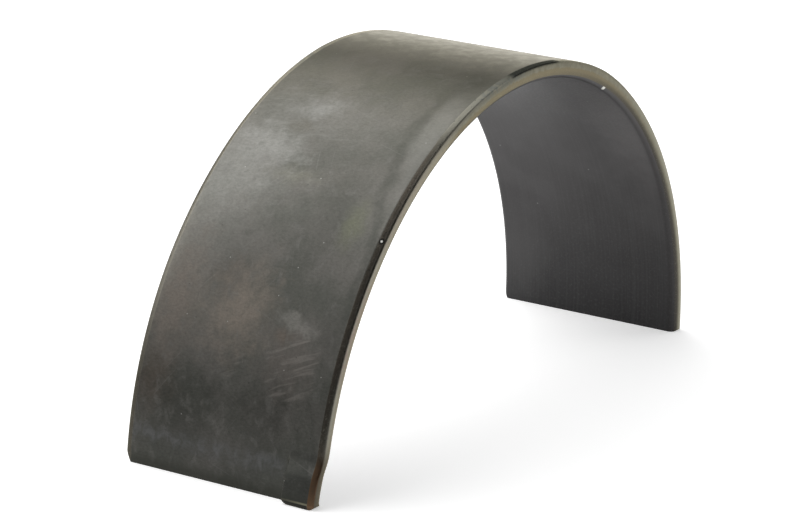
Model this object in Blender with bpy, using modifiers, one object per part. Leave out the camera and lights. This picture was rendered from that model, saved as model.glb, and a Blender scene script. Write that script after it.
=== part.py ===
"""Half-round plain bearing shell, standing on its two parting faces.

The bearing's axis runs along Y. The origin lies on the parting plane, midway between the legs
and midway across the width. The locating lug is on the leg at -X, at the side face at -Y.
The shell is drawn free, as it is out of its housing: the legs stand wider than the housing bore.
"""

import math

import bmesh
import bpy
from mathutils import Matrix, Vector

# Wall and fit
HOUSING_RADIUS = 0.030
WALL = 0.0015
WIDTH = 0.0177
FREE_SPREAD = 0.00097

# Edges of the two side faces
OUTER_CHAMFER_RADIAL = 0.00018
OUTER_CHAMFER_AXIAL = 0.00045
BORE_CHAMFER_RADIAL = 0.00045
BORE_CHAMFER_AXIAL = 0.00025

# Corners where the side faces meet the parting faces
BACK_CORNER_ACROSS = 0.00055
BACK_CORNER_UP = 0.00075
FRONT_CORNER = 0.00035

# Locating lug, pressed outwards from the wall, with a pocket behind it. Its proud distances are
# where its ramp reaches the parting plane, and after its foot is chamfered.
LUG_WIDTH = 0.0030
LUG_HEIGHT = 0.0041
LUG_PROUD = 0.00098
LUG_FOOT_PROUD = 0.00072
LUG_FOOT_CHAMFER = 0.00038
LUG_EDGE = 0.00020
LUG_ROOT = 0.0010
LUG_SETBACK = 0.00003

# Shares of the wall that the lug's block is deep at its foot and at its root, so that it ends inside the wall
LUG_FOOT_SHARE = 0.9
LUG_TOP_SHARE = 0.5

# Facets round a full turn
TURN_STEPS = 288

# Reach of a cutter past the metal that it removes
CLEAR = 0.002

STEEL_COLOUR = (0.105, 0.098, 0.086, 1.0)
STEEL_ROUGHNESS = 0.42
STEEL_METALLIC = 0.9


def clear_scene():
    for obj in list(bpy.data.objects):
        bpy.data.objects.remove(obj, do_unlink=True)


def new_collection(name):
    collection = bpy.data.collections.new(name)
    bpy.context.scene.collection.children.link(collection)
    return collection


def steel_material():
    material = bpy.data.materials.new("bearing steel")
    material.use_nodes = True
    shader = material.node_tree.nodes["Principled BSDF"]
    shader.inputs["Base Color"].default_value = STEEL_COLOUR
    shader.inputs["Roughness"].default_value = STEEL_ROUGHNESS
    shader.inputs["Metallic"].default_value = STEEL_METALLIC
    material.diffuse_color = STEEL_COLOUR
    return material


def leg_cut():
    """Length trimmed off each leg, so that the sprung-open back is as long as half the housing bore."""
    wide = HOUSING_RADIUS + FREE_SPREAD
    deep = HOUSING_RADIUS
    half_ellipse = math.pi / 2 * (3 * (wide + deep) - math.sqrt((3 * wide + deep) * (wide + 3 * deep)))
    return (half_ellipse - math.pi * HOUSING_RADIUS) / 2


def back_half_width(height):
    """Distance from the middle plane to the back of a leg, at a height above the parting plane."""
    rise = (height + leg_cut()) / HOUSING_RADIUS
    return (HOUSING_RADIUS + FREE_SPREAD) * math.sqrt(1 - rise**2)


def wall_section():
    """Corners of the wall's section as (radius, place along the axis), clockwise from the front outer edge."""
    bore_radius = HOUSING_RADIUS - WALL
    side_outer = HOUSING_RADIUS - OUTER_CHAMFER_RADIAL
    side_inner = bore_radius + BORE_CHAMFER_RADIAL
    edge = WIDTH / 2
    return [
        (HOUSING_RADIUS, edge - OUTER_CHAMFER_AXIAL),
        (HOUSING_RADIUS, -edge + OUTER_CHAMFER_AXIAL),
        (side_outer, -edge),
        (side_inner, -edge),
        (bore_radius, -edge + BORE_CHAMFER_AXIAL),
        (bore_radius, edge - BORE_CHAMFER_AXIAL),
        (side_inner, edge),
        (side_outer, edge),
    ]


def turned_ring():
    """Mesh of the wall's section turned a full circle about the bearing's axis."""
    mesh = bpy.data.meshes.new("wall section")
    section = bmesh.new()
    corners = [section.verts.new((radius, along, 0)) for radius, along in wall_section()]
    for corner, following in zip(corners, corners[1:] + corners[:1]):
        section.edges.new((corner, following))
    section.to_mesh(mesh)
    section.free()
    guide = bpy.data.objects.new("ring guide", mesh)
    bpy.context.scene.collection.objects.link(guide)
    screw = guide.modifiers.new("turn", "SCREW")
    screw.axis = "Y"
    screw.steps = TURN_STEPS
    screw.render_steps = TURN_STEPS
    screw.use_merge_vertices = True
    screw.merge_threshold = 0.000001
    evaluated = guide.evaluated_get(bpy.context.evaluated_depsgraph_get())
    ring = bpy.data.meshes.new_from_object(evaluated)
    bpy.data.objects.remove(guide, do_unlink=True)
    return ring


def spring_open(mesh):
    """Spreads the legs sideways by the free spread and lowers the ring by the leg cut."""
    for vertex in mesh.vertices:
        radius = math.hypot(vertex.co.x, vertex.co.z)
        vertex.co.x += FREE_SPREAD * vertex.co.x / radius
        vertex.co.z -= leg_cut()


def add_block(name, size, matrix, collection, edge=0.0, top_depth=None):
    """Hidden block for a Boolean. It may thin out to a depth at its top, or have its -X face bevelled."""
    mesh = bpy.data.meshes.new(name)
    block = bmesh.new()
    bmesh.ops.create_cube(block, size=1.0, matrix=Matrix.Diagonal((*size, 1.0)))
    if top_depth:
        for corner in block.verts:
            if corner.co.x > 0 and corner.co.z > 0:
                corner.co.x -= size[0] - top_depth
    if edge:
        outer = [e for e in block.edges if all(v.co.x < 0 for v in e.verts)]
        bmesh.ops.bevel(block, geom=outer, offset=edge, segments=1, affect="EDGES", profile=0.5)
    block.to_mesh(mesh)
    block.free()
    obj = bpy.data.objects.new(name, mesh)
    obj.matrix_world = matrix
    obj.hide_render = True
    obj.display_type = "WIRE"
    collection.objects.link(obj)
    return obj


def lug_ramp():
    """Frame of the lug's outer face: origin at the parting plane, local Z up the ramp, -X outwards."""
    foot = Vector((-back_half_width(0) - LUG_PROUD, 0, 0))
    top = Vector((-back_half_width(LUG_HEIGHT), 0, LUG_HEIGHT))
    tilt = math.atan2(top.x - foot.x, top.z - foot.z)
    frame = Matrix.Translation(foot) @ Matrix.Rotation(tilt, 4, "Y")
    return frame, (top - foot).length


def lug_block(collection):
    """Solid of the pressed-out lug, a hair behind the front side face and rooted in the wall."""
    frame, length = lug_ramp()
    depth = LUG_FOOT_SHARE * WALL
    width = LUG_WIDTH - LUG_SETBACK
    size = (depth, width, CLEAR + length + LUG_ROOT)
    across = LUG_SETBACK + (width - WIDTH) / 2
    middle = Vector((depth / 2, across, (length + LUG_ROOT - CLEAR) / 2))
    place = frame @ Matrix.Translation(middle)
    return add_block("lug", size, place, collection, LUG_EDGE, LUG_TOP_SHARE * WALL)


def pocket_block(collection):
    """Cutter of the pocket that the press leaves in the bore behind the lug."""
    frame, length = lug_ramp()
    width = LUG_WIDTH - LUG_EDGE + CLEAR
    size = (HOUSING_RADIUS / 4, width, length + 2 * CLEAR)
    middle = Vector((WALL + size[0] / 2, -WIDTH / 2 - CLEAR + width / 2, length / 2))
    return add_block("lug pocket", size, frame @ Matrix.Translation(middle), collection)


def lug_foot_block(collection):
    """Cutter of the chamfer along the lug's outer foot edge."""
    frame, length = lug_ramp()
    top = frame @ Vector((0, 0, length * LUG_FOOT_CHAMFER / LUG_HEIGHT))
    foot = Vector((-back_half_width(0) - LUG_FOOT_PROUD, 0, 0))
    turn = Matrix.Rotation(math.atan2(top.x - foot.x, top.z - foot.z), 4, "Y")
    size = (CLEAR, 2 * LUG_WIDTH, 2 * CLEAR)
    place = Matrix.Translation(foot) @ turn @ Matrix.Translation((-CLEAR / 2, -WIDTH / 2, 0))
    return add_block("lug foot chamfer", size, place, collection)


def pocket_edge_block(collection):
    """Cutter of the chamfer along the pocket's front edge, in line with the bore chamfer."""
    frame, length = lug_ramp()
    side = 2 * CLEAR
    middle = (WALL - BORE_CHAMFER_RADIAL / 2, (BORE_CHAMFER_AXIAL - WIDTH) / 2, length / 2)
    turn = Matrix.Rotation(math.atan2(BORE_CHAMFER_AXIAL, BORE_CHAMFER_RADIAL), 4, "Z")
    place = Matrix.Translation(middle) @ turn
    return add_block(
        "lug pocket edge",
        (side, side, length + 2 * CLEAR),
        frame @ place @ Matrix.Translation((0, -side / 2, 0)),
        collection,
    )


def parting_block(collection):
    """Cutter of everything under the parting plane."""
    depth = 2 * HOUSING_RADIUS
    size = (4 * HOUSING_RADIUS, 2 * WIDTH, depth)
    return add_block("parting cut", size, Matrix.Translation((0, 0, -depth / 2)), collection)


def corner_block(name, side, across, up, collection):
    """Cutter of the corner between a side face and both parting faces; side is -1 at the front."""
    depth = 2 * CLEAR
    size = (4 * HOUSING_RADIUS, 3 * CLEAR, depth)
    middle = Vector((0, side * (WIDTH - across) / 2, up / 2))
    turn = Matrix.Rotation(side * math.atan2(up, across), 4, "X")
    return add_block(
        name,
        size,
        Matrix.Translation(middle) @ turn @ Matrix.Translation((0, 0, -depth / 2)),
        collection,
    )


def combine(obj, other, operation):
    boolean = obj.modifiers.new(other.name, "BOOLEAN")
    boolean.operation = operation
    boolean.object = other
    boolean.solver = "EXACT"


def build():
    clear_scene()
    parts = new_collection("engine bearing shell")
    cutters = new_collection("cutters")

    mesh = turned_ring()
    mesh.name = "bearing_shell"
    spring_open(mesh)
    mesh.materials.clear()
    mesh.materials.append(steel_material())
    mesh.shade_smooth()
    mesh.set_sharp_from_angle(angle=math.radians(20))
    shell = bpy.data.objects.new("bearing_shell", mesh)
    parts.objects.link(shell)

    combine(shell, lug_block(cutters), "UNION")
    combine(shell, lug_foot_block(cutters), "DIFFERENCE")
    combine(shell, pocket_block(cutters), "DIFFERENCE")
    combine(shell, pocket_edge_block(cutters), "DIFFERENCE")
    combine(shell, parting_block(cutters), "DIFFERENCE")
    combine(
        shell,
        corner_block("back corners", 1, BACK_CORNER_ACROSS, BACK_CORNER_UP, cutters),
        "DIFFERENCE",
    )
    combine(
        shell,
        corner_block("front corners", -1, FRONT_CORNER, FRONT_CORNER, cutters),
        "DIFFERENCE",
    )


build()
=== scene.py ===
"""Looks of a half-round plain bearing shell that stands on its two parting faces."""

import math

import bmesh
import bpy
from mathutils import Matrix, Vector


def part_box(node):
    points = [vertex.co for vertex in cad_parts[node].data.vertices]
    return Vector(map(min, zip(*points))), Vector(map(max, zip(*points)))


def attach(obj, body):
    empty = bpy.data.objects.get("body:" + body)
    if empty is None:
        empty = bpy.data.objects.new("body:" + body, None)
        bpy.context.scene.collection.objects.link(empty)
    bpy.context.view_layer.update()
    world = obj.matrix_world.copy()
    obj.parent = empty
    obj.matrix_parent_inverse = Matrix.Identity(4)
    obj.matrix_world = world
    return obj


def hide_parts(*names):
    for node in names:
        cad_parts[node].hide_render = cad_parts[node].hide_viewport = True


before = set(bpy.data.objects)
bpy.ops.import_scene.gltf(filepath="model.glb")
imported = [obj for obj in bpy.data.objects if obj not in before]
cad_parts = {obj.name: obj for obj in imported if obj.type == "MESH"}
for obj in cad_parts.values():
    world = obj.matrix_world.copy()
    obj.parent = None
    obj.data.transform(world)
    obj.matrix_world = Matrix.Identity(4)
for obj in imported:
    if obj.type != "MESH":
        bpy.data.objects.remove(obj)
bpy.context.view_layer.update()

# Bearing half shell
# A strip of steel with a thin bearing metal bonded to its inner side, blanked, chamfered along both
# edges and bent to a half round. It is drawn sprung open, as it is before it snaps into its housing.
shell_low, shell_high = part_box("bearing_shell")
half_width = (shell_high.y - shell_low.y) / 2
housing_radius = 0.030
wall = 0.0015
free_spread = 0.00097
leg_trim = housing_radius - shell_high.z
box_margin = 0.000002
outer_chamfer_radial = 0.00015
outer_chamfer_axial = 0.00050
outer_chamfer_round = 0.00013
back_edge_round = 0.00005
bore_edge_radial = 0.00100
bore_edge_axial = 0.00058
outer_chamfer_steps = 4
back_edge_steps = 2
bore_edge_steps = 10
turn_steps = 240
vertex_match = 1e-9
cut_slack = 1e-8
tolerance = 1e-7
sharp_angle = math.radians(60)

back_radius = housing_radius - box_margin
bore_radius = housing_radius - wall
side_outer = housing_radius - outer_chamfer_radial

shell = bmesh.new()
half_section = [(back_radius, half_width - outer_chamfer_axial), (side_outer, half_width)]
for step in range(bore_edge_steps + 1):
    turn = math.pi / 2 * step / bore_edge_steps
    half_section.append((bore_radius + bore_edge_radial * (1 - math.sin(turn)),
                         half_width - bore_edge_axial * (1 - math.cos(turn))))
section = half_section + [(radius, -along) for radius, along in reversed(half_section)]
corners = [shell.verts.new((radius, along, 0)) for radius, along in section]
shell.faces.new(corners)
rounded_corners = (
    (side_outer, outer_chamfer_round, outer_chamfer_steps),
    (back_radius, back_edge_round, back_edge_steps),
)
for radius, rounding, steps in rounded_corners:
    edge_corners = [c for c in corners if c.is_valid and abs(c.co.x - radius) < vertex_match]
    bmesh.ops.bevel(shell, geom=edge_corners, offset=rounding, segments=steps, profile=0.5,
                    affect="VERTICES", material=-1)
bmesh.ops.delete(shell, geom=shell.faces[:], context="FACES_ONLY")
bmesh.ops.spin(shell, geom=shell.verts[:] + shell.edges[:], cent=(0, 0, 0), axis=(0, 1, 0),
               dvec=(0, 0, 0), angle=-math.pi, steps=turn_steps, use_merge=False)


def cut_shell(geometry, point, normal, remove=False):
    """Cuts the shell's faces along a plane; what lies on the normal's side may be removed and closed."""
    parts = list({p for face in geometry for p in (face, *face.edges, *face.verts)})
    cut = bmesh.ops.bisect_plane(shell, geom=parts, dist=cut_slack, plane_co=point, plane_no=normal,
                                 clear_outer=remove)
    if remove:
        rim = [p for p in cut["geom_cut"] if isinstance(p, bmesh.types.BMEdge)]
        bmesh.ops.holes_fill(shell, edges=rim, sides=0)


# Parting faces, cut square, with the corners broken; each is a slightly rounded chamfer, given as its
# side of the shell, its leg (0 for both), its reach across and up the leg, and its fullness
corner_breaks = {
    "back": (1, 0, 0.00058, 0.00105, 1.3),
    "front, at the lug": (-1, -1, 0.00040, 0.00042, 1.8),
    "front, other leg": (-1, 1, 0.00016, 0.00018, 1.8),
}
corner_cuts = 5

cut_shell(shell.faces, (0, 0, leg_trim), (0, 0, -1), remove=True)
for side, leg, across, up, fullness in corner_breaks.values():
    for step in range(corner_cuts):
        turn = math.pi / 2 * (step + 0.5) / corner_cuts
        out = math.cos(turn) ** (2 / fullness)
        down = math.sin(turn) ** (2 / fullness)
        point = (0, side * (half_width - across * (1 - out)), leg_trim + up * (1 - down))
        normal = Vector((0, side * out ** (fullness - 1) / across, -down ** (fullness - 1) / up))
        leg_faces = [f for f in shell.faces if leg * f.calc_center_median().x >= 0]
        cut_shell(leg_faces, point, normal.normalized(), remove=True)

# Locating lug, pressed outwards from the wall at the front corner of one leg. Its foot is bevelled,
# and its outer corner broken, where it was coined.
lug_width = 0.0030
lug_shoulder = 0.00020
lug_height = 0.0042
lug_blend = 0.0022
lug_proud = 0.00088
lug_foot_proud = 0.00072
lug_foot_bevel = 0.00038
lug_corner_break = 0.00035
lug_foot_spread = 0.0004
lug_reach = 0.0055
ramp_curve = 1.5
shoulder_loops = (0.0, 0.15, 0.35, 0.65, 0.85, 1.0, 1.4, 1.9, 2.5)
ramp_loops = (0.0001, 0.0002, 0.0003, 0.00038, 0.00048, 0.0006, 0.0009, 0.0013, 0.0017, 0.0021, 0.0025,
              0.0028, 0.0031, 0.0034, 0.0037, 0.0040, 0.0043, 0.0046, 0.0049)


def lug_faces():
    return [f for f in shell.faces if all(v.co.x < 0 and v.co.z < leg_trim + lug_reach for v in f.verts)]


for share in shoulder_loops:
    cut_shell(lug_faces(), (0, lug_width - half_width - share * lug_shoulder, 0), (0, 1, 0))
for height in ramp_loops:
    cut_shell(lug_faces(), (0, 0, leg_trim + height), (0, 0, 1))
bmesh.ops.remove_doubles(shell, verts=shell.verts[:], dist=tolerance)
bmesh.ops.recalc_face_normals(shell, faces=shell.faces[:])


def smooth(share):
    return share * share * (3 - 2 * share)


def lug_push(along, height):
    """Distance that the lug stands out from the leg, at a place along the axis and a height."""
    foot = max(1 - height / lug_corner_break, 0)
    shoulder = lug_shoulder + lug_foot_spread * foot * foot
    across = min(max((lug_width - half_width - along) / shoulder, 0), 1)
    bevel = lug_foot_proud + (lug_proud - lug_foot_proud) * height / lug_foot_bevel
    ramp = lug_proud * (1 - (height / lug_height) ** ramp_curve)
    blend = min(max((lug_height - height) / (lug_height - lug_blend), 0), 1)
    return smooth(across) * smooth(blend) * min(bevel, ramp)


def rise(value, start, end):
    """Smooth step from 0 at a start to 1 at an end."""
    return smooth(min(max((value - start) / (end - start), 0), 1))


# The outer chamfer was cut on a rounder shell, so that it nearly runs out on the crown, and is deeper
# at the back's haunch and wider at the front's
crown_share = 0.15
near_run_out = (-0.001, -0.016)
far_run_out = (0.009, 0.022)
haunch_place = -0.022
haunch_reach = 0.011
back_haunch_deeper = 0.55
front_haunch_wider = 0.15
chamfer_reach = outer_chamfer_axial + back_edge_round
chamfer_bottom = side_outer - outer_chamfer_round - tolerance

for vert in shell.verts:
    radius = math.hypot(vert.co.x, vert.co.z)
    inward = half_width - abs(vert.co.y)
    if inward > chamfer_reach or radius < chamfer_bottom:
        continue
    around = housing_radius * math.atan2(vert.co.x, vert.co.z)
    share = max(rise(around, *near_run_out) + rise(around, *far_run_out), crown_share)
    haunch = 1 - rise(abs(around - haunch_place), 0, haunch_reach)
    if vert.co.y > 0:
        share *= 1 + back_haunch_deeper * haunch
    else:
        vert.co.y = -half_width + inward * (1 + front_haunch_wider * haunch)
    new_radius = back_radius - (back_radius - radius) * share
    vert.co.x *= new_radius / radius
    vert.co.z *= new_radius / radius

# Place of each point of the wall before it is bent open: round the back, across it, and under it, in mm
wall_place = shell.verts.layers.float_vector.new("wall_place")
for vert in shell.verts:
    radius = math.hypot(vert.co.x, vert.co.z)
    around = housing_radius * math.atan2(vert.co.x, vert.co.z)
    vert[wall_place] = Vector((around, vert.co.y, housing_radius - radius)) * 1000

# Faces of the back, of the cut edges and of the bearing metal
lining_edge_depth = 0.00125
lining_facing = 0.3
back_skin = 0.00002
cut_edge_index = 1
lining_index = 2

for face in shell.faces:
    middle = face.calc_center_median()
    depth = housing_radius - math.hypot(middle.x, middle.z)
    if depth > lining_edge_depth and abs(face.normal.z) + abs(face.normal.x) > lining_facing:
        face.material_index = lining_index
    elif depth > back_skin or abs(middle.y) > half_width - outer_chamfer_axial:
        face.material_index = cut_edge_index
    face.smooth = True

for vert in shell.verts:
    radius = math.hypot(vert.co.x, vert.co.z)
    vert.co.x += free_spread * vert.co.x / radius
    vert.co.z -= leg_trim
    if vert.co.x < 0 and vert.co.z < lug_height:
        vert.co.x -= lug_push(vert.co.y, max(vert.co.z, 0))

shell_mesh = bpy.data.meshes.new("bearing_half_shell")
shell.to_mesh(shell_mesh)
shell.free()
shell_mesh.set_sharp_from_angle(angle=sharp_angle)
half_shell = bpy.data.objects.new("bearing_half_shell", shell_mesh)
bpy.context.scene.collection.objects.link(half_shell)
even = half_shell.modifiers.new("even normals", "WEIGHTED_NORMAL")
even.keep_sharp = True
even.weight = 80


def add_node(tree, kind, sockets=None, **settings):
    """Adds a shader node; a socket given another node's output is linked to it."""
    made = tree.nodes.new(kind)
    for name, value in settings.items():
        setattr(made, name, value)
    for name, value in (sockets or {}).items():
        if isinstance(value, bpy.types.NodeSocket):
            tree.links.new(value, made.inputs[name])
        else:
            made.inputs[name].default_value = value
    return made


def metal(name, roughness):
    """A metal with its wall place read from the shell; returns material, tree, shader and place."""
    material = bpy.data.materials.new(name)
    material.use_nodes = True
    tree = material.node_tree
    shader = tree.nodes["Principled BSDF"]
    shader.inputs["Metallic"].default_value = 1.0
    shader.inputs["Roughness"].default_value = roughness
    place = add_node(tree, "ShaderNodeAttribute", attribute_name="wall_place").outputs["Vector"]
    return material, tree, shader, place


def stretch(tree, place, size, turn=0.0, shift=(0, 0, 0)):
    """Pattern place shifted, turned on the wall and stretched; size is (around, across, depth) in mm."""
    mapping = add_node(tree, "ShaderNodeMapping", {
        "Vector": place, "Location": shift, "Rotation": (0, 0, math.radians(turn)), "Scale": size,
    }, vector_type="TEXTURE")
    return mapping.outputs["Vector"]


def cloud(tree, place, scale, detail=4.0, roughness=0.5, distortion=0.0):
    made = add_node(tree, "ShaderNodeTexNoise", {
        "Vector": place, "Scale": scale, "Detail": detail, "Roughness": roughness,
        "Distortion": distortion,
    })
    return made.outputs["Fac"]


def fade(tree, value, start, end, low=0.0, high=1.0):
    made = add_node(tree, "ShaderNodeMapRange", {
        "Value": value, "From Min": start, "From Max": end, "To Min": low, "To Max": high,
    }, interpolation_type="SMOOTHSTEP")
    return made.outputs["Result"]


def math_node(tree, operation, first, second):
    made = tree.nodes.new("ShaderNodeMath")
    made.operation = operation
    for socket, value in zip(made.inputs, (first, second)):
        if isinstance(value, bpy.types.NodeSocket):
            tree.links.new(value, socket)
        else:
            socket.default_value = value
    return made.outputs["Value"]


def times(tree, first, second):
    """Product of two masks, or of a mask and a strength."""
    return math_node(tree, "MULTIPLY", first, second)


def paint(tree, factor, under, over, mode="MIX"):
    """Lays one colour over another by a factor."""
    made = tree.nodes.new("ShaderNodeMix")
    made.data_type = "RGBA"
    made.blend_type = mode
    for index, value in ((0, factor), (6, under), (7, over)):
        if isinstance(value, bpy.types.NodeSocket):
            tree.links.new(value, made.inputs[index])
        elif index:
            made.inputs[index].default_value = (*value, 1.0)
        else:
            made.inputs[index].default_value = value
    return made.outputs[2]


def band(tree, value, middle, half, soft):
    """Mask of a stripe where a value is near a middle."""
    off = math_node(tree, "ABSOLUTE", math_node(tree, "SUBTRACT", value, middle), 0.0)
    return fade(tree, off, half + soft, half)


def smudge(tree, place, centre, size, turn=0.0, ragged=0.5):
    """Mask of a soft mark on the wall; centre and size are (around, across) in mm."""
    wander = add_node(tree, "ShaderNodeTexNoise", {
        "Vector": place, "Scale": 0.9, "Detail": 5.0, "Roughness": 0.6,
    }).outputs["Color"]
    centred = stretch(tree, place, (*size, 1000), turn, (*centre, 0))
    shifted = add_node(tree, "ShaderNodeVectorMath", {0: wander, 1: (0.5, 0.5, 0.5)},
                       operation="SUBTRACT").outputs["Vector"]
    moved = add_node(tree, "ShaderNodeVectorMath",
                     {0: shifted, 1: (2 * ragged, 2 * ragged, 0), 2: centred},
                     operation="MULTIPLY_ADD").outputs["Vector"]
    reach = add_node(tree, "ShaderNodeVectorMath", {0: moved}, operation="LENGTH").outputs["Value"]
    return fade(tree, reach, 1.0, 0.0)


def specks(tree, place, spacing, size, share):
    """Mask of scattered specks; spacing and size in mm, share of the places that have one."""
    cells = add_node(tree, "ShaderNodeTexVoronoi", {"Vector": place, "Scale": 1 / spacing},
                     voronoi_dimensions="2D")
    dot = fade(tree, cells.outputs["Distance"], size / spacing, 0.5 * size / spacing)
    chance = add_node(tree, "ShaderNodeSeparateXYZ", {"Vector": cells.outputs["Color"]}).outputs["X"]
    return times(tree, dot, fade(tree, chance, 1 - share, 1.001 - share))


def black_stain(tree, around, across):
    """Mask of the stain across the front edge's chamfer at the crown."""
    length = times(tree, fade(tree, around, -5.2, -3.6), fade(tree, around, 4.5, 2.5))
    return times(tree, length, fade(tree, across, -8.15, -8.40))


# Steel back, rolled and dulled, with stains, smears and handling marks, a painted highlight past the
# crown and painted shade towards the foot
steel_dark = (0.061, 0.062, 0.055)
steel_pale = (0.084, 0.081, 0.074)
steel_grain = (0.115, 0.112, 0.105)

# Marks on the back: place and size as (around, across) in mm, turn, raggedness, strength and colour
back_marks = {
    "paler left side": ((-25, 10.0), (16, 10), 0, 0.15, 0.62, (0.146, 0.144, 0.132)),
    "paler middle": ((-14.8, -1.0), (5.5, 8), 0, 0.4, 0.40, (0.118, 0.116, 0.108)),
    "paler strip by the front edge": ((-14.3, -7.4), (6.5, 2.4), 0, 0.3, 0.62, (0.132, 0.130, 0.120)),
    "darker crown": ((0.0, 0), (4.8, 14), 0, 0.15, 0.50, (0.040, 0.040, 0.036)),
    # Painted highlight: a pale yellowish band over the crown's far side.
    "painted highlight past the crown": ((5.2, 0), (3.4, 30), 0, 0.6, 0.42, (0.250, 0.242, 0.220)),
    "dull middle": ((-24.4, -3.8), (5.4, 4.2), 0, 0.4, 0.50, (0.042, 0.042, 0.038)),
    "dark stain by the front edge": ((-6.2, -6.8), (6.0, 3.0), 12, 0.45, 0.60, (0.028, 0.031, 0.028)),
    "haze by the upper smear": ((-14.4, 3.9), (4.6, 6.0), 0, 0.6, 0.55, (0.122, 0.120, 0.114)),
    "upper pale smear": ((-14.0, 2.9), (1.6, 2.8), 12, 0.75, 0.70, (0.160, 0.160, 0.154)),
    "brown spot": ((-16.2, 3.4), (1.4, 1.8), 0, 0.6, 0.45, (0.074, 0.068, 0.056)),
    "haze by the lower smear": ((-20.6, 5.9), (6.5, 6.3), 0, 0.6, 0.60, (0.140, 0.139, 0.130)),
    "lower pale smear": ((-18.6, 5.0), (2.6, 5.0), -12, 0.70, 0.50, (0.178, 0.177, 0.168)),
    "yellow stain": ((-21.2, 1.2), (1.4, 3.2), 0, 0.6, 0.35, (0.112, 0.110, 0.086)),
    "green stain": ((-24.4, -5.7), (3.2, 1.5), 0, 0.4, 0.60, (0.092, 0.095, 0.067)),
    "dark stain on the right": ((-21, -3.2), (4.5, 3.5), 0, 0.6, 0.30, (0.062, 0.061, 0.054)),
    "paler left rim": ((-29.0, 9.2), (8.0, 2.2), 0, 0.2, 0.65, (0.180, 0.173, 0.152)),
    "brown stain on the left": ((-33.0, 6.8), (8.0, 3.4), 0, 0.5, 0.62, (0.130, 0.110, 0.095)),
    "brown lower left": ((-39.6, 7.4), (3.4, 3.2), 0, 0.5, 0.50, (0.072, 0.058, 0.045)),
    "pinkish stain": ((-32.8, 1.2), (5.6, 4.8), 0, 0.6, 0.72, (0.152, 0.130, 0.110)),
    "scraped stain": ((-36.0, -4.2), (4.8, 3.6), 10, 0.6, 0.66, (0.104, 0.092, 0.084)),
    "pale patch over it": ((-33.2, -4.5), (1.1, 2.8), -25, 1.3, 0.50, (0.160, 0.154, 0.142)),
    "brown patch in it": ((-34.2, -3.3), (0.9, 1.1), 0, 0.5, 0.55, (0.104, 0.084, 0.068)),
    "dark lower left": ((-42.0, 4.5), (4.5, 6.5), 0, 0.5, 0.50, (0.036, 0.036, 0.032)),
    "dark above the lug": ((-40.6, -3.4), (4.5, 3.5), 0, 0.4, 0.50, (0.036, 0.036, 0.032)),
    "dark by the upper left": ((-30.4, 2.8), (3.2, 2.8), 0, 0.5, 0.40, (0.052, 0.049, 0.043)),
    "dull lower right": ((-33.6, -7.4), (3.6, 2.4), 0, 0.3, 0.45, (0.044, 0.044, 0.040)),
    # Painted shade: the back darkens towards the foot.
    "painted shade over the foot": ((-44.5, 0), (4.0, 16), 0, 0.3, 0.40, (0.036, 0.036, 0.034)),
    "dark lug": ((-44.2, -7.6), (3.6, 2.2), 0, 0.2, 0.45, (0.036, 0.038, 0.035)),
}

steel_back, tree, shader, place = metal("steel back", 0.40)
split = add_node(tree, "ShaderNodeSeparateXYZ", {"Vector": place})
around, across = split.outputs["X"], split.outputs["Y"]
broad = cloud(tree, place, 0.17, 5, 0.55)
colour = paint(tree, fade(tree, broad, 0.36, 0.64), steel_dark, steel_pale)
for centre, size, turn, ragged, strength, tint in back_marks.values():
    mask = smudge(tree, place, centre, size, turn, ragged)
    colour = paint(tree, times(tree, mask, strength), colour, tint)
mottle = cloud(tree, stretch(tree, place, (1.25, 1.0, 1)), 1.0, 6, 0.62, 0.5)
colour = paint(tree, fade(tree, mottle, 0.50, 0.72, 0.0, 0.42), colour, steel_grain)
colour = paint(tree, fade(tree, mottle, 0.48, 0.28, 0.0, 0.36), colour, (0.045, 0.045, 0.040))
grain = cloud(tree, stretch(tree, place, (1.0, 1.7, 1)), 5.5, 4, 0.7)
colour = paint(tree, 0.13, colour, fade(tree, grain, 0.26, 0.74), "OVERLAY")

# A wavy dark line runs down beside the front edge, and the strip beyond it shines
line_place = math_node(tree, "ADD", fade(tree, around, -11, -31, -5.7, -8.1),
                       fade(tree, cloud(tree, place, 0.22, 3, 0.5), 0.2, 0.8, -0.5, 0.5))
off_line = math_node(tree, "SUBTRACT", across, line_place)
line_reach = fade(tree, around, -36, -30)
line_reach = times(tree, line_reach, fade(tree, around, -6, -11))
dark_line = times(tree, band(tree, off_line, 0.0, 0.08, 0.65), line_reach)
dark_line = times(tree, dark_line, fade(tree, mottle, 0.30, 0.55, 0.4, 1.0))
colour = paint(tree, times(tree, dark_line, 0.50), colour, (0.038, 0.040, 0.035))
shine = times(tree, fade(tree, off_line, -0.4, -1.3), line_reach)
colour = paint(tree, times(tree, shine, 0.25), colour, (0.125, 0.124, 0.116))

# Faint wiped streaks by the smears, scraped strokes in the stain above the lug, fine scratches all over
wiped = cloud(tree, stretch(tree, place, (0.5, 2.6, 1), 12), 1.0, 4, 0.6)
wiped = times(tree, fade(tree, wiped, 0.48, 0.72), smudge(tree, place, (-18, 4), (12, 9)))
colour = paint(tree, times(tree, wiped, 0.26), colour, (0.180, 0.178, 0.168))
strokes = cloud(tree, stretch(tree, place, (0.36, 2.9, 1), 25), 1.0, 2, 0.5, 0.3)
scraped = math_node(tree, "MAXIMUM", smudge(tree, place, (-36.4, -4.7), (4.0, 3.4), 0, 0.5),
                    smudge(tree, place, (-37.0, 0.8), (1.8, 2.0), 0, 0.8))
strokes = times(tree, fade(tree, strokes, 0.50, 0.66), fade(tree, scraped, 0.0, 0.5))
colour = paint(tree, times(tree, strokes, 0.40), colour, (0.160, 0.148, 0.136))
for turn, shift in ((18, 0), (-35, 7), (72, 13)):
    hairs = cloud(tree, stretch(tree, place, (8.0, 0.2, 1), turn, (shift, shift, 0)), 1.0, 2, 0.5)
    colour = paint(tree, fade(tree, hairs, 0.68, 0.76, 0.0, 0.14), colour, (0.170, 0.168, 0.158))
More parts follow.
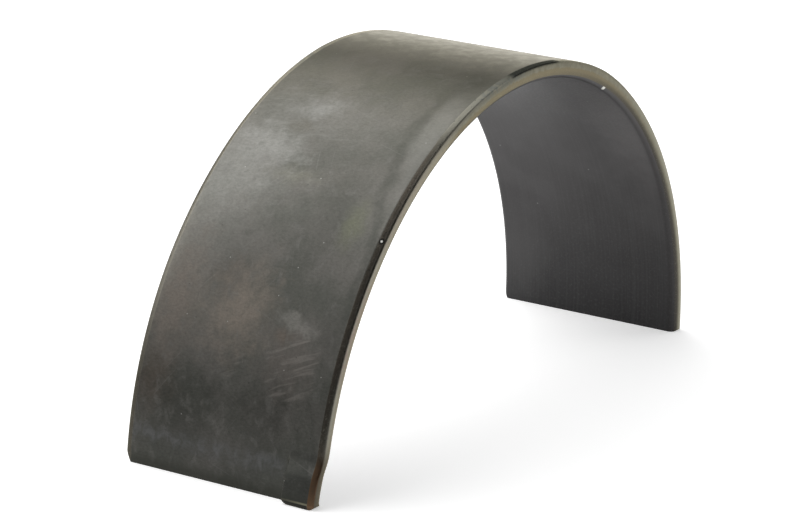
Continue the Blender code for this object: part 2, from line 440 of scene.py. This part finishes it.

# Painted shade darkens the foot, which has a bluish haze over it; the edges are worn bright and dust
# lies about
# Painted shade over the last millimetre of the leg, next to the floor.
foot = fade(tree, around, -45.0, -46.0)
haze = times(tree, band(tree, around, -43.8, 0.1, 1.0), fade(tree, across, -5.9, -5.2))
haze = times(tree, haze, fade(tree, mottle, 0.40, 0.62, 0.10, 1.0))
colour = paint(tree, times(tree, haze, 0.55), colour, (0.092, 0.094, 0.096))
colour = paint(tree, times(tree, foot, 0.60), colour, (0.031, 0.032, 0.027))
lug_foot = times(tree, fade(tree, around, -45.95, -46.05), fade(tree, across, -5.9, -6.2))
colour = paint(tree, times(tree, lug_foot, 0.70), colour, (0.016, 0.016, 0.016))
# Painted highlight, with wear, along the top of the lug's foot bevel.
lug_foot_glint_and_wear = times(tree, band(tree, around, -45.93, 0.03, 0.08), fade(tree, across, -6.2, -8.2, 0.25, 1.0))
lug_foot_glint_and_wear = times(tree, lug_foot_glint_and_wear, fade(tree, across, -5.9, -6.1))
colour = paint(tree, times(tree, lug_foot_glint_and_wear, 0.75), colour, (0.190, 0.182, 0.128))
wear = band(tree, math_node(tree, "ABSOLUTE", across, 0.0), 8.40, 0.02, 0.10)
wear = times(tree, wear, fade(tree, mottle, 0.40, 0.60))
colour = paint(tree, times(tree, wear, 0.55), colour, (0.170, 0.160, 0.135))
dust = times(tree, specks(tree, place, 2.6, 0.06, 0.20), 0.6)
colour = paint(tree, dust, colour, (0.300, 0.300, 0.285))
pits = times(tree, specks(tree, stretch(tree, place, (1, 1, 1), 40), 3.3, 0.07, 0.22), 0.45)
colour = paint(tree, pits, colour, (0.024, 0.024, 0.021))
stain = black_stain(tree, around, across)
colour = paint(tree, times(tree, stain, 0.90), colour, (0.014, 0.018, 0.019))
tree.links.new(colour, shader.inputs["Base Color"])
dull = fade(tree, mottle, 0.3, 0.7, 0.34, 0.44)
dull = math_node(tree, "MAXIMUM", dull, times(tree, stain, 0.85))
tree.links.new(dull, shader.inputs["Roughness"])
shader.inputs["Specular Tint"].default_value = (1.0, 0.96, 0.83, 1)
relief = math_node(tree, "ADD", mottle, grain)
bump = add_node(tree, "ShaderNodeBump", {"Strength": 0.4, "Distance": 0.000008, "Height": relief})
tree.links.new(bump.outputs["Normal"], shader.inputs["Normal"])

# Cut edges: greenish bare steel outside, a bronze layer inside, dark stains and painted shade at the
# chamfer
cut_edge, tree, shader, place = metal("cut edge", 0.40)
split = add_node(tree, "ShaderNodeSeparateXYZ", {"Vector": place})
around, across, depth = split.outputs["X"], split.outputs["Y"], split.outputs["Z"]
streaks = cloud(tree, stretch(tree, place, (0.8, 1, 1)), 1.6, 5, 0.6)
colour = paint(tree, fade(tree, streaks, 0.30, 0.70), (0.125, 0.122, 0.100), (0.170, 0.165, 0.137))
near_leg = fade(tree, around, -14, -23)
colour = paint(tree, times(tree, near_leg, 0.85), colour, (0.265, 0.252, 0.215))
pinkish = math_node(tree, "MAXIMUM", band(tree, around, -22.0, 2.0, 3.0),
                    band(tree, around, -32.5, 2.0, 3.5))
pinkish = times(tree, pinkish, fade(tree, streaks, 0.36, 0.56))
colour = paint(tree, times(tree, pinkish, 0.80), colour, (0.245, 0.196, 0.172))
bronze_start = fade(tree, streaks, 0.2, 0.8, 0.42, 0.62)
bronze = fade(tree, math_node(tree, "SUBTRACT", depth, bronze_start), 0.0, 0.16)
bronze = times(tree, bronze, fade(tree, near_leg, 0.0, 1.0, 0.85, 0.25))
bronze = times(tree, bronze, fade(tree, around, 8, 26, 1.0, 0.30))
colour = paint(tree, bronze, colour, (0.140, 0.118, 0.078))
far_leg = fade(tree, around, 8, 30)
colour = paint(tree, times(tree, far_leg, fade(tree, depth, 0.9, 0.3)), colour, (0.245, 0.242, 0.208))
lining_depth = math_node(tree, "ADD", depth, fade(tree, around, 22, 44, 0.0, 0.14))
lining_edge = times(tree, fade(tree, lining_depth, 0.72, 1.12), fade(tree, around, -4, 22, 0.15, 1.0))
colour = paint(tree, lining_edge, colour, (0.050, 0.047, 0.044))
chamfer = fade(tree, depth, 0.34, 0.12)
upper = times(tree, fade(tree, around, -17, -12), fade(tree, around, 0, -5))
colour = paint(tree, times(tree, chamfer, 0.80), colour, (0.080, 0.078, 0.066))
colour = paint(tree, times(tree, times(tree, chamfer, upper), 0.85), colour, (0.190, 0.186, 0.158))
rounding = times(tree, band(tree, around, -20, 4, 4), fade(tree, depth, 0.09, 0.15))
colour = paint(tree, times(tree, rounding, 0.75), colour, (0.230, 0.215, 0.180))
start = times(tree, fade(tree, depth, 0.13, 0.07), fade(tree, around, -13, -18))
colour = paint(tree, times(tree, start, 0.75), colour, (0.060, 0.051, 0.041))
back_side = times(tree, fade(tree, across, 0.0, 1.0), fade(tree, depth, 0.34, 0.20))
back_side = times(tree, back_side, fade(tree, around, -43, -30, 0.20, 1.0))
colour = paint(tree, back_side, colour, (0.172, 0.163, 0.139))
nicks = fade(tree, cloud(tree, stretch(tree, place, (1.0, 0.7, 0.4)), 1.9, 3, 0.6), 0.60, 0.68)
nicks = times(tree, nicks, fade(tree, depth, 0.45, 0.25))
colour = paint(tree, times(tree, nicks, 0.70), colour, (0.030, 0.030, 0.027))
bluish = times(tree, band(tree, around, -5.5, 2.0, 3.0), fade(tree, depth, 0.65, 0.35))
bluish = times(tree, bluish, fade(tree, streaks, 0.42, 0.56))
colour = paint(tree, times(tree, bluish, 0.55), colour, (0.082, 0.096, 0.100))
stain = times(tree, black_stain(tree, around, across), fade(tree, depth, 0.30, 0.08))
colour = paint(tree, times(tree, stain, 0.92), colour, (0.016, 0.021, 0.022))
# Painted shade on the chamfer above the lug.
lower = times(tree, chamfer, fade(tree, around, -33, -41))
colour = paint(tree, times(tree, lower, 0.6), colour, (0.036, 0.034, 0.029))
glint = times(tree, band(tree, depth, 0.22, 0.02, 0.06), fade(tree, streaks, 0.45, 0.62))
colour = paint(tree, times(tree, glint, 0.15), colour, (0.240, 0.235, 0.200))
grit = cloud(tree, place, 7.0, 4, 0.7)
colour = paint(tree, fade(tree, grit, 0.50, 0.80, 0.0, 0.40), colour, (0.250, 0.240, 0.200))
at_lug = times(tree, fade(tree, around, -41.0, -43.6), fade(tree, across, -6.0, -8.0))
colour = paint(tree, times(tree, at_lug, 0.85), colour, (0.072, 0.060, 0.046))
nick = smudge(tree, stretch(tree, place, (1, 1, 1000)), (-25.3, -8.55), (0.42, 0.34), 0, 0.0)
colour = paint(tree, fade(tree, nick, 0.1, 0.6), colour, (0.018, 0.018, 0.017))
colour = paint(tree, fade(tree, nick, 0.70, 0.95), colour, (0.850, 0.850, 0.800))
copper = times(tree, at_lug, fade(tree, depth, 0.30, 0.16))
copper = times(tree, copper, fade(tree, streaks, 0.30, 0.50, 0.5, 1.0))
copper = times(tree, copper, fade(tree, around, -42.0, -43.6))
colour = paint(tree, copper, colour, (0.110, 0.070, 0.043))
tree.links.new(colour, shader.inputs["Base Color"])
dull = fade(tree, grit, 0.3, 0.7, 0.34, 0.48)
dull = math_node(tree, "MAXIMUM", dull, times(tree, stain, 0.85))
tree.links.new(dull, shader.inputs["Roughness"])
shader.inputs["Specular Tint"].default_value = (1.0, 0.95, 0.78, 1)
bump = add_node(tree, "ShaderNodeBump", {"Strength": 0.6, "Distance": 0.000012, "Height": grit})
tree.links.new(bump.outputs["Normal"], shader.inputs["Normal"])

# Bearing metal, bored and plated a matt violet grey, with painted shade towards the feet and a painted
# sheen under the crown
bearing_lining, tree, shader, place = metal("bearing lining", 0.46)
split = add_node(tree, "ShaderNodeSeparateXYZ", {"Vector": place})
around, across = split.outputs["X"], split.outputs["Y"]
broad = cloud(tree, place, 0.2, 4, 0.5)
colour = paint(tree, fade(tree, broad, 0.35, 0.65), (0.060, 0.058, 0.058), (0.071, 0.069, 0.069))
side = math_node(tree, "ABSOLUTE", around, 0.0)
# Painted shade: the bore darkens towards the feet.
colour = paint(tree, fade(tree, side, 32, 46, 0.0, 0.60), colour, (0.020, 0.020, 0.021))
# Painted sheen: a pale patch under the crown by the front edge.
painted_sheen = smudge(tree, place, (20, -8.0), (15, 5.5), 0, 0.2)
colour = paint(tree, times(tree, painted_sheen, 0.62), colour, (0.150, 0.143, 0.142))
low_back = smudge(tree, place, (41, 7.0), (8, 5), 0, 0.2)
colour = paint(tree, times(tree, low_back, 0.40), colour, (0.095, 0.093, 0.092))
dull = smudge(tree, place, (34, -3.0), (5, 5), 0, 0.2)
colour = paint(tree, times(tree, dull, 0.35), colour, (0.036, 0.035, 0.035))
rim = fade(tree, across, -8.0, -8.5)
colour = paint(tree, times(tree, rim, 0.60), colour, (0.040, 0.038, 0.038))
boring = cloud(tree, stretch(tree, place, (20, 0.17, 1)), 1.0, 3, 0.6)
colour = paint(tree, fade(tree, boring, 0.40, 0.75, 0.0, 0.12), colour, (0.105, 0.102, 0.104))
grain = cloud(tree, place, 4.0, 4, 0.65)
colour = paint(tree, fade(tree, grain, 0.45, 0.80, 0.0, 0.30), colour, (0.110, 0.107, 0.108))
colour = paint(tree, specks(tree, place, 6.0, 0.09, 0.3), colour, (0.150, 0.150, 0.148))
chip = smudge(tree, stretch(tree, place, (1, 1, 1000)), (12.9, -8.60), (0.44, 0.26), 0, 0.0)
colour = paint(tree, fade(tree, chip, 0.2, 0.7), colour, (0.620, 0.620, 0.580))
tree.links.new(colour, shader.inputs["Base Color"])
tree.links.new(fade(tree, grain, 0.3, 0.7, 0.42, 0.50), shader.inputs["Roughness"])
bump = add_node(tree, "ShaderNodeBump", {"Strength": 0.3, "Distance": 0.000006, "Height": boring})
tree.links.new(bump.outputs["Normal"], shader.inputs["Normal"])

for material in (steel_back, cut_edge, bearing_lining):
    shell_mesh.materials.append(material)

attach(half_shell, "root")
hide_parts("bearing_shell")

# Floor
# A wide sheet of white paper under the shell. Rays from the camera and from the metal see it near
# white, and it keeps the shell's shadow.
floor_half = 3.0
paper_tone = (0.93, 0.93, 0.93, 1)
paper_lift = 0.48

floor_mesh = bpy.data.meshes.new("floor")
sheet = bmesh.new()
bmesh.ops.create_grid(sheet, x_segments=1, y_segments=1, size=floor_half)
sheet.to_mesh(floor_mesh)
sheet.free()
floor = bpy.data.objects.new("floor", floor_mesh)
bpy.context.scene.collection.objects.link(floor)
paper = bpy.data.materials.new("white paper")
paper.use_nodes = True
tree = paper.node_tree
tree.nodes.clear()
matt = add_node(tree, "ShaderNodeBsdfDiffuse", {"Color": paper_tone})
seen = add_node(tree, "ShaderNodeLightPath")
direct = math_node(tree, "MAXIMUM", seen.outputs["Is Camera Ray"], seen.outputs["Is Glossy Ray"])
direct = math_node(tree, "MAXIMUM", direct, seen.outputs["Is Transmission Ray"])
lift = add_node(tree, "ShaderNodeEmission", {"Strength": times(tree, direct, paper_lift)})
both = add_node(tree, "ShaderNodeAddShader", {0: matt.outputs[0], 1: lift.outputs[0]})
add_node(tree, "ShaderNodeOutputMaterial", {"Surface": both.outputs[0]})
floor_mesh.materials.append(paper)

# Light
# A large softbox hangs high to the left, a little behind the shell. The room is pale to the left of
# the shell, behind it and to its right, and dark on the camera's side.
softbox_width = 0.50
softbox_distance = 0.46
softbox_elevation = math.radians(60)
softbox_bearing = math.radians(75)
softbox_brightness = 2.4


def toward(elevation, bearing):
    """Direction at an elevation over the floor and a bearing from +X towards +Y."""
    return Vector((
        math.cos(elevation) * math.cos(bearing),
        math.cos(elevation) * math.sin(bearing),
        math.sin(elevation),
    ))


softbox = bpy.data.lights.new("softbox", "AREA")
softbox.shape = "SQUARE"
softbox.size = softbox_width
softbox.energy = math.pi * softbox_width**2 * softbox_brightness
softbox_stand = bpy.data.objects.new("softbox", softbox)
away = toward(softbox_elevation, softbox_bearing)
softbox_stand.matrix_world = (
    Matrix.Translation(softbox_distance * away) @ away.to_track_quat("Z", "Y").to_matrix().to_4x4()
)
bpy.context.scene.collection.objects.link(softbox_stand)

# Pale places of the room: elevation, bearing and reach in degrees, and brightness
pale_places = {
    "left wall": (33, 125, 38, 1.50),
    "left of the camera": (33, 165, 38, 0.36),
    "behind on the left": (30, 85, 30, 0.55),
    "low behind": (2, 32, 25, 2.30),
    "behind on the right": (30, 338, 34, 1.20),
    "low on the right": (8, 340, 34, 1.20),
}

room = bpy.data.worlds.new("pale room")
room.use_nodes = True
bpy.context.scene.world = room
tree = room.node_tree
background = tree.nodes["Background"]
direction = add_node(tree, "ShaderNodeTexCoord").outputs["Generated"]
wall_tone = 0.02
for elevation, bearing, reach, brightness in pale_places.values():
    middle = toward(math.radians(elevation), math.radians(bearing))
    near = add_node(tree, "ShaderNodeVectorMath", {0: direction, 1: middle},
                    operation="DOT_PRODUCT").outputs["Value"]
    glow = fade(tree, near, math.cos(math.radians(reach)), 1.0, 0.0, brightness)
    wall_tone = math_node(tree, "ADD", glow, wall_tone)
tree.links.new(wall_tone, background.inputs["Color"])

# Camera
# It stands in front of the lug's leg and a little above the shell, with a long lens.
camera_yaw = math.radians(29.9245)
camera_pitch = math.radians(15.3154)
camera_roll = math.radians(3.092)
camera_place = (-0.230591, -0.129693, 0.083181)
forward = Vector((
    math.cos(camera_pitch) * math.cos(camera_yaw),
    math.cos(camera_pitch) * math.sin(camera_yaw),
    -math.sin(camera_pitch),
))
level = Vector((math.sin(camera_yaw), -math.cos(camera_yaw), 0))
upright = level.cross(forward)
right = math.cos(camera_roll) * level + math.sin(camera_roll) * upright
up = math.cos(camera_roll) * upright - math.sin(camera_roll) * level
lens = bpy.data.cameras.new("camera")
lens.lens = 148.26
lens.sensor_width = 36.0
lens.sensor_fit = "HORIZONTAL"
lens.clip_start = 0.01
lens.clip_end = 20.0
camera = bpy.data.objects.new("camera", lens)
camera.matrix_world = Matrix.Translation(camera_place) @ Matrix(
    (right, up, -forward)).transposed().to_4x4()
bpy.context.scene.collection.objects.link(camera)
bpy.context.scene.camera = camera
bpy.context.scene.view_settings.view_transform = "Standard"
